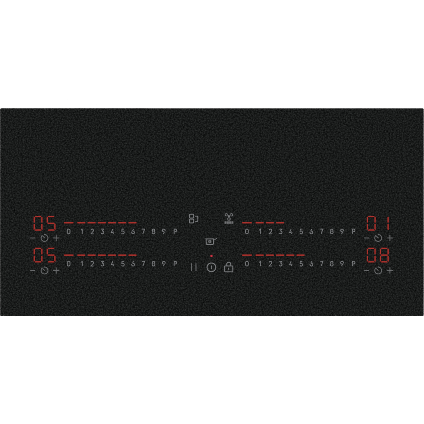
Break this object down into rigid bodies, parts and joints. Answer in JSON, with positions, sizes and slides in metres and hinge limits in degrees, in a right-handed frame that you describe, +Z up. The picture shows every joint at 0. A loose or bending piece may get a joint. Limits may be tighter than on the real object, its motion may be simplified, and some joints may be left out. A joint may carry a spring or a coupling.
{
  "type": "induction hob",
  "caption": "Flat built-in induction hob: black glass top with touch sliders and digit displays at the front, over a shallow vented steel casing that drops into a worktop cut-out.",
  "frame": {"origin": "centre of the casing's base, on the plane the hob rests on when it stands on a bench", "axes": "+X to the user's right, -Y towards the user, who stands at the touch controls, +Z up through the glass"},
  "size_m": [0.8, 0.393, 0.055],
  "materials": {
    "black_glass": "polished black glass-ceramic, 4 mm, with a fine light speckle in its print",
    "foam_seal": "closed-cell foam tape",
    "silicone": "cured silicone",
    "zinc_steel": "galvanised sheet, fine spangle",
    "spring_steel": "bright spring steel",
    "screw_steel": "bright zinc-plated steel",
    "aluminium": "mill-finish aluminium",
    "black_plastic": "glass-filled moulding, matt",
    "grey_plastic": "moulded, fine texture",
    "white_plastic": "heat-resistant moulding, matt",
    "circuit_board": "green solder mask",
    "copper_litz": "enamelled copper litz wire, wound flat",
    "mica": "pressed mica sheet",
    "sleeving": "woven glass-fibre sleeve",
    "rubber": "moulded rubber"
  },
  "bodies": {
    "hob": {"cable_grommet": "rubber", "casing_end_left": "zinc_steel", "casing_end_right": "zinc_steel", "casing_pan": "zinc_steel", "casing_screw_front_left": "screw_steel", "casing_screw_front_right": "screw_steel", "casing_screw_rear_left": "screw_steel", "casing_screw_rear_right": "screw_steel", "coil_shelf": "aluminium", "coil_spring_1": "spring_steel", "coil_spring_2": "spring_steel", "coil_spring_3": "spring_steel", "coil_spring_4": "spring_steel", "control_board": "circuit_board", "control_frame": "black_plastic", "electronics_tray": "grey_plastic", "fan_base_left": "black_plastic", "fan_base_right": "black_plastic", "fan_housing_left": "black_plastic", "fan_housing_right": "black_plastic", "filter_board": "circuit_board", "glass_plate": "black_glass", "heatsink_left": "aluminium", "heatsink_right": "aluminium", "lid_pin": "screw_steel", "mains_harness": "sleeving", "mica_sheet": "mica", "power_board_left": "circuit_board", "power_board_right": "circuit_board", "rail_front": "zinc_steel", "rail_left": "zinc_steel", "rail_rear": "zinc_steel", "rail_right": "zinc_steel", "ribbon_cable": "grey_plastic", "seal_front": "foam_seal", "seal_left": "foam_seal", "seal_rear": "foam_seal", "seal_right": "foam_seal", "silicone_bond": "silicone", "temperature_sensor_1": "white_plastic", "temperature_sensor_2": "white_plastic", "temperature_sensor_3": "white_plastic", "temperature_sensor_4": "white_plastic", "terminal_block": "white_plastic", "terminal_box": "grey_plastic"},
    "terminal_lid": {"terminal_lid": "grey_plastic"},
    "fan_rotor_left": {"fan_rotor_left": "black_plastic"},
    "fan_rotor_right": {"fan_rotor_right": "black_plastic"},
    "side_spring_left_front": {"side_spring_left_front": "spring_steel"},
    "side_spring_left_rear": {"side_spring_left_rear": "spring_steel"},
    "side_spring_right_front": {"side_spring_right_front": "spring_steel"},
    "side_spring_right_rear": {"side_spring_right_rear": "spring_steel"},
    "coil_unit_1": {"coil_winding_1": "copper_litz", "coil_carrier_1": "black_plastic"},
    "coil_unit_2": {"coil_winding_2": "copper_litz", "coil_carrier_2": "black_plastic"},
    "coil_unit_3": {"coil_winding_3": "copper_litz", "coil_carrier_3": "black_plastic"},
    "coil_unit_4": {"coil_winding_4": "copper_litz", "coil_carrier_4": "black_plastic"}
  },
  "joints": [
    {"name": "terminal_lid_hinge", "type": "hinge", "parent": "hob", "child": "terminal_lid", "pos_m": [0, 0.1803, 0.0042], "axis": [-1, 0, 0], "range_deg": [0, 95]},
    {"name": "fan_spin_left", "type": "hinge", "parent": "hob", "child": "fan_rotor_left", "pos_m": [-0.318, -0.095, 0.029], "axis": [0, 0, 1], "continuous": true},
    {"name": "fan_spin_right", "type": "hinge", "parent": "hob", "child": "fan_rotor_right", "pos_m": [0.318, -0.095, 0.029], "axis": [0, 0, 1], "continuous": true},
    {"name": "side_spring_left_front_flex", "type": "hinge", "parent": "hob", "child": "side_spring_left_front", "pos_m": [-0.3822, -0.105, 0.01], "axis": [0, 1, 0], "range_deg": [0, 11], "stiffness_Nm_per_rad": 1.2},
    {"name": "side_spring_left_rear_flex", "type": "hinge", "parent": "hob", "child": "side_spring_left_rear", "pos_m": [-0.3822, 0.105, 0.01], "axis": [0, 1, 0], "range_deg": [0, 11], "stiffness_Nm_per_rad": 1.2},
    {"name": "side_spring_right_front_flex", "type": "hinge", "parent": "hob", "child": "side_spring_right_front", "pos_m": [0.3822, -0.105, 0.01], "axis": [0, -1, 0], "range_deg": [0, 11], "stiffness_Nm_per_rad": 1.2},
    {"name": "side_spring_right_rear_flex", "type": "hinge", "parent": "hob", "child": "side_spring_right_rear", "pos_m": [0.3822, 0.105, 0.01], "axis": [0, -1, 0], "range_deg": [0, 11], "stiffness_Nm_per_rad": 1.2},
    {"name": "coil_float_1", "type": "slide", "parent": "hob", "child": "coil_unit_1", "axis": [0, 0, 1], "range_m": [-0.003, 0], "stiffness_N_per_m": 4000, "springref_m": 0.006, "deforming": ["coil_spring_1"]},
    {"name": "coil_float_2", "type": "slide", "parent": "hob", "child": "coil_unit_2", "axis": [0, 0, 1], "range_m": [-0.003, 0], "stiffness_N_per_m": 4000, "springref_m": 0.006, "deforming": ["coil_spring_2"]},
    {"name": "coil_float_3", "type": "slide", "parent": "hob", "child": "coil_unit_3", "axis": [0, 0, 1], "range_m": [-0.003, 0], "stiffness_N_per_m": 4000, "springref_m": 0.006, "deforming": ["coil_spring_3"]},
    {"name": "coil_float_4", "type": "slide", "parent": "hob", "child": "coil_unit_4", "axis": [0, 0, 1], "range_m": [-0.003, 0], "stiffness_N_per_m": 4000, "springref_m": 0.006, "deforming": ["coil_spring_4"]}
  ]
}
